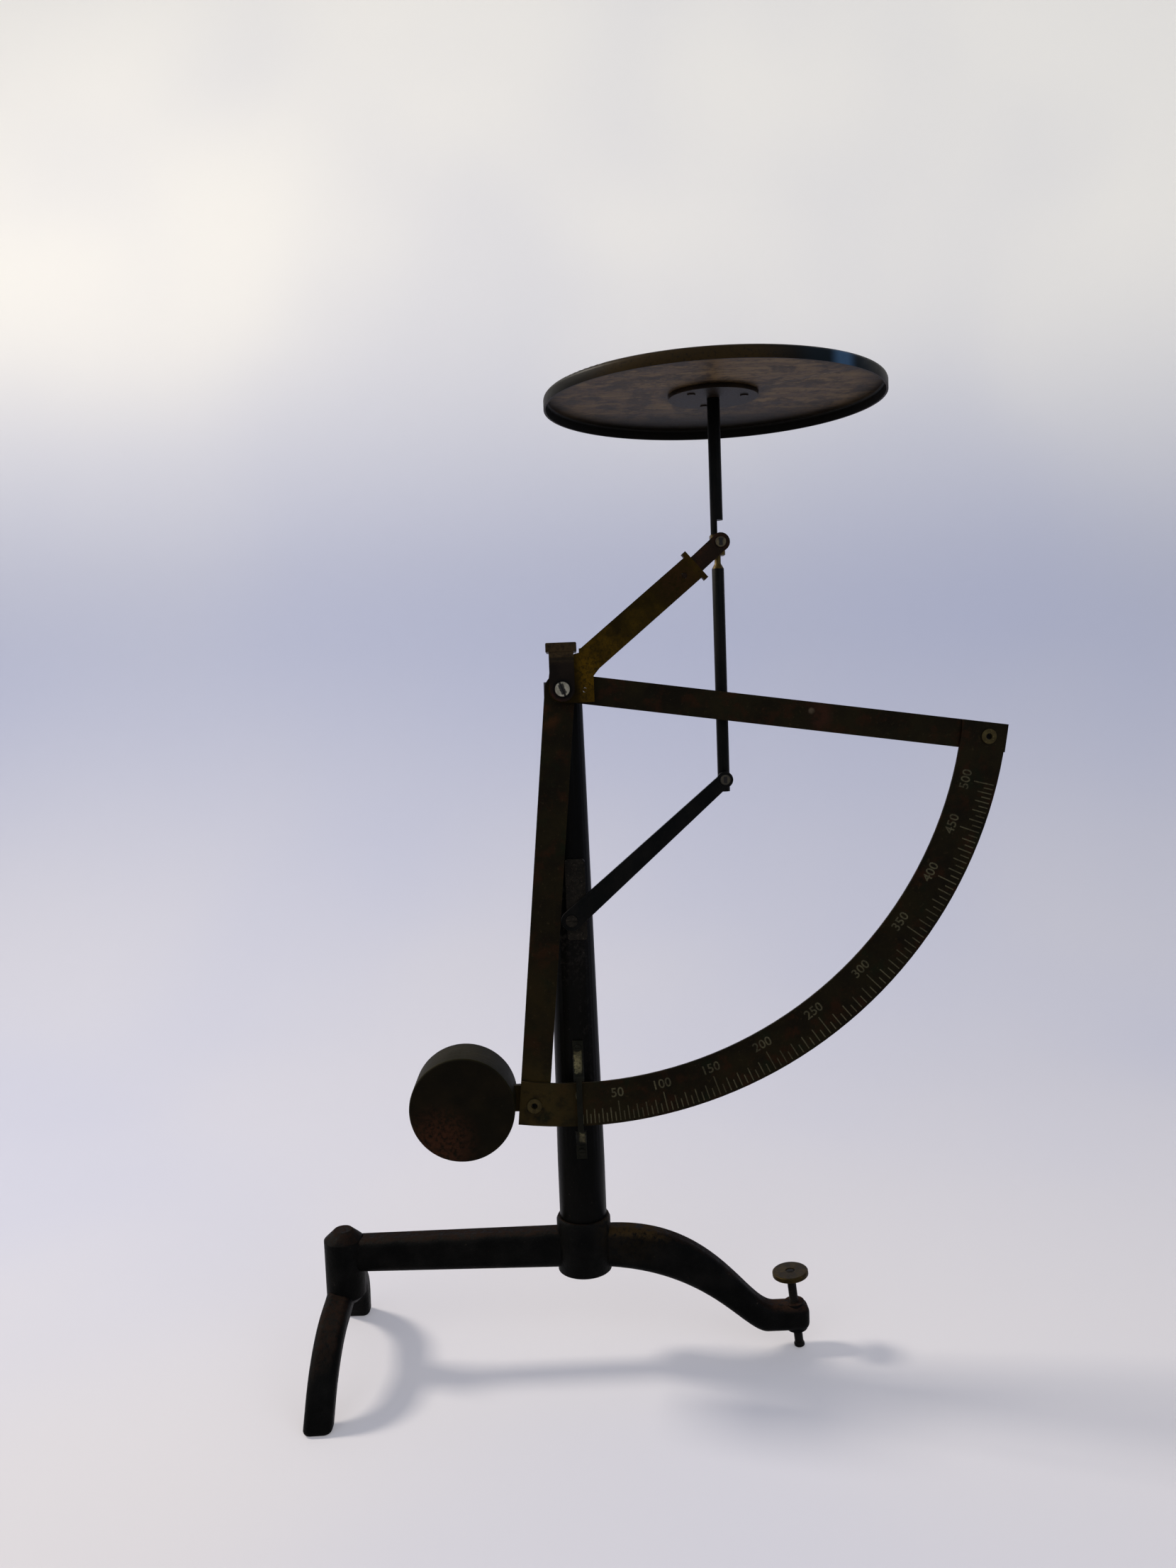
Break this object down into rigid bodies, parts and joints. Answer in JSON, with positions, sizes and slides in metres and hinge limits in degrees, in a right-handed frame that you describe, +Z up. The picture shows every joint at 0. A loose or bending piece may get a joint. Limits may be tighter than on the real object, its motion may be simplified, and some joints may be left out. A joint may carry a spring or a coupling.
{
  "type": "quadrant letter scale",
  "caption": "Bent-lever letter scale: round pan on an upright rod, swinging beam with a graduated quadrant and balance weight, column on a cast base with a levelling screw.",
  "frame": {"origin": "on the table, under the centre of the object's bounding box", "axes": "+X to the right as the dial is read, +Y away from the reader, +Z up"},
  "size_m": [0.2445, 0.1134, 0.3374],
  "materials": {
    "black_iron": "worn black paint over cast iron, rusty on top",
    "black_column": "gloss black paint",
    "dark_brass": "dark patina",
    "arm_brass": "tarnished, golden where it is worn",
    "weight_brass": "dark face, pale rubbed side",
    "pan_metal": "satin, with a golden film at the rim",
    "rod_steel": "dark, oiled",
    "bright_steel": "bright, slightly dull",
    "joint_brass": "dull golden"
  },
  "bodies": {
    "stand": {"base_casting": "black_iron", "leg_casting": "black_iron", "leg_screw": "rod_steel", "column": "black_column", "column_screw": "rod_steel", "head_bracket": "black_column", "head_screw": "rod_steel", "front_pivot_screw": "bright_steel", "rear_pivot_pin": "bright_steel", "index_pointer": "bright_steel", "index_screws": "bright_steel", "link_plate": "bright_steel", "link_plate_screws": "rod_steel", "link_stud": "bright_steel"},
    "beam": {"beam_casting": "arm_brass", "beam_arbor": "rod_steel", "top_bar": "dark_brass", "side_bar": "dark_brass", "hub_rivets": "dark_brass", "quadrant": "dark_brass", "quadrant_rivets": "bright_steel", "arm_tongue": "rod_steel", "tongue_rivet": "rod_steel", "weight": "weight_brass", "weight_tang": "rod_steel", "weight_screw": "rod_steel"},
    "pan_rod": {"pan_plate": "pan_metal", "pan_flange": "pan_metal", "flange_rivets": "rod_steel", "pan_stem": "rod_steel", "stem_knuckle": "joint_brass", "lower_rod": "rod_steel", "stem_pin": "rod_steel", "pin_spacer": "joint_brass", "rod_pin": "rod_steel"},
    "lower_link": {"lower_link": "rod_steel"},
    "levelling_screw": {"levelling_screw": "rod_steel"},
    "thumb_disc": {"thumb_disc": "joint_brass"}
  },
  "joints": [
    {"name": "beam_swing", "type": "hinge", "parent": "stand", "child": "beam", "pos_m": [-0.02759, -0.0059, 0.2406], "axis": [0, 1, 0], "range_deg": [-2, 66]},
    {"name": "pan_upright", "type": "hinge", "parent": "beam", "child": "pan_rod", "pos_m": [0.02639, 0, 0.28703], "axis": [0, 1, 0], "range_deg": [-66, 2]},
    {"name": "link_swing", "type": "hinge", "parent": "stand", "child": "lower_link", "pos_m": [-0.02759, -0.00325, 0.1614], "axis": [0, 1, 0], "range_deg": [-2, 66]},
    {"name": "levelling_rise", "type": "slide", "parent": "stand", "child": "levelling_screw", "axis": [-0.1011, 0, 0.9949], "range_m": [-0.003, 0.003]},
    {"name": "thumb_turn", "type": "hinge", "parent": "levelling_screw", "child": "thumb_disc", "pos_m": [0.04619, 0.0057, 0.02776], "axis": [-0.1011, 0, 0.9949], "range_deg": [-2880, 2880]}
  ],
  "couplings": [
    {"joint": "pan_upright", "follows": "beam_swing", "ratio": -1},
    {"joint": "link_swing", "follows": "beam_swing", "ratio": 1},
    {"joint": "thumb_turn", "follows": "levelling_rise", "rad_per_m": 10472}
  ]
}
